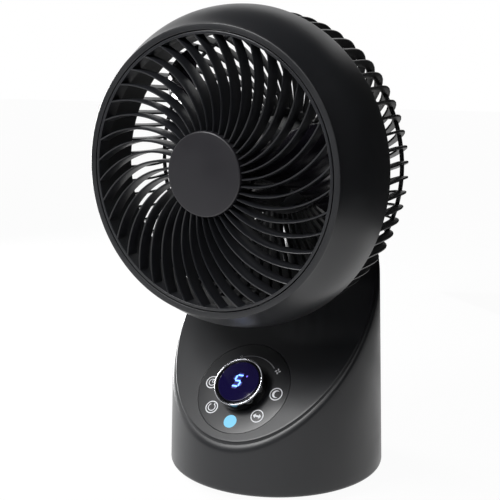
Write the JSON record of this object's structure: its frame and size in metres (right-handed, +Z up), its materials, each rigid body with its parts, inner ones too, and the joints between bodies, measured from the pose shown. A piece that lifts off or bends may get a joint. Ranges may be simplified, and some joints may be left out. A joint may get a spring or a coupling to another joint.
{
  "type": "air circulator fan",
  "caption": "Black table-top air circulator with a drum head that tilts on a neck, swirled grilles, and a slant-topped round body with a dial and touch panel that turns on its foot",
  "frame": {"origin": "on the floor under the middle of the fan's bounding box", "axes": "+Z up, -Y towards the front of the fan, +X to the right of someone who faces the front"},
  "size_m": [0.25, 0.203, 0.3878],
  "materials": {
    "black_abs": "satin moulded ABS",
    "grille_abs": "satin moulded ABS",
    "cap_abs": "satin moulded ABS",
    "panel_gloss": "gloss black",
    "impeller_smoke": "gloss dark smoke",
    "display_glass": "dark indigo window",
    "digit_light": "lit blue digit",
    "trim_chrome": "bright plated",
    "steel": "plain steel",
    "pad_rubber": "black rubber",
    "gear_plastic": "natural acetal",
    "circuit_board": "green laminate",
    "winding_copper": "enamelled winding"
  },
  "bodies": {
    "foot": {"foot_plate": "black_abs", "foot_pad_1": "pad_rubber", "foot_pad_2": "pad_rubber", "foot_pad_3": "pad_rubber", "foot_pad_4": "pad_rubber", "foot_ballast": "steel", "thrust_washer": "gear_plastic", "foot_gear": "gear_plastic", "hub_clip": "steel"},
    "body": {"base_housing": "black_abs", "base_bottom": "black_abs", "deck_cover": "black_abs", "main_board": "circuit_board", "oscillation_motor": "steel", "power_inlet": "black_abs", "control_panel": "panel_gloss", "touch_board": "circuit_board", "display_housing": "black_abs", "display_board": "circuit_board", "digit_module": "digit_light", "display_window": "display_glass", "neck_column": "black_abs", "tilt_pin": "steel", "tilt_washer_right": "steel", "tilt_washer_left": "steel"},
    "dial": {"dial_sleeve": "panel_gloss", "dial_trim": "trim_chrome"},
    "pinion": {"drive_pinion": "gear_plastic"},
    "head": {"drum_housing": "black_abs", "front_grille": "grille_abs", "grille_cap": "cap_abs", "rear_grille": "black_abs", "motor_housing": "black_abs", "motor_front_cap": "black_abs", "motor_bearing_front": "steel", "motor_bearing_rear": "steel", "motor_stator": "winding_copper"},
    "rotor": {"impeller": "impeller_smoke", "impeller_nut": "impeller_smoke", "motor_shaft": "steel", "motor_rotor": "steel"}
  },
  "joints": [
    {"name": "oscillation", "type": "hinge", "parent": "foot", "child": "body", "pos_m": [0, 0.01035, 0.02], "axis": [0, 0, 1], "range_deg": [-40, 40]},
    {"name": "pinion_spin", "type": "hinge", "parent": "body", "child": "pinion", "pos_m": [0, -0.02115, 0.02], "axis": [0, 0, 1], "range_deg": [-80, 80]},
    {"name": "head_tilt", "type": "hinge", "parent": "body", "child": "head", "pos_m": [0, 0.05535, 0.26277], "axis": [-1, 0, 0], "range_deg": [0, 90]},
    {"name": "fan_spin", "type": "hinge", "parent": "head", "child": "rotor", "pos_m": [0, -0.01965, 0.26277], "axis": [0, 1, 0], "continuous": true},
    {"name": "dial_turn", "type": "hinge", "parent": "body", "child": "dial", "pos_m": [0, -0.04417, 0.08299], "axis": [0, -0.7227, 0.6911], "continuous": true}
  ],
  "couplings": [
    {"joint": "pinion_spin", "follows": "oscillation", "ratio": 2}
  ]
}
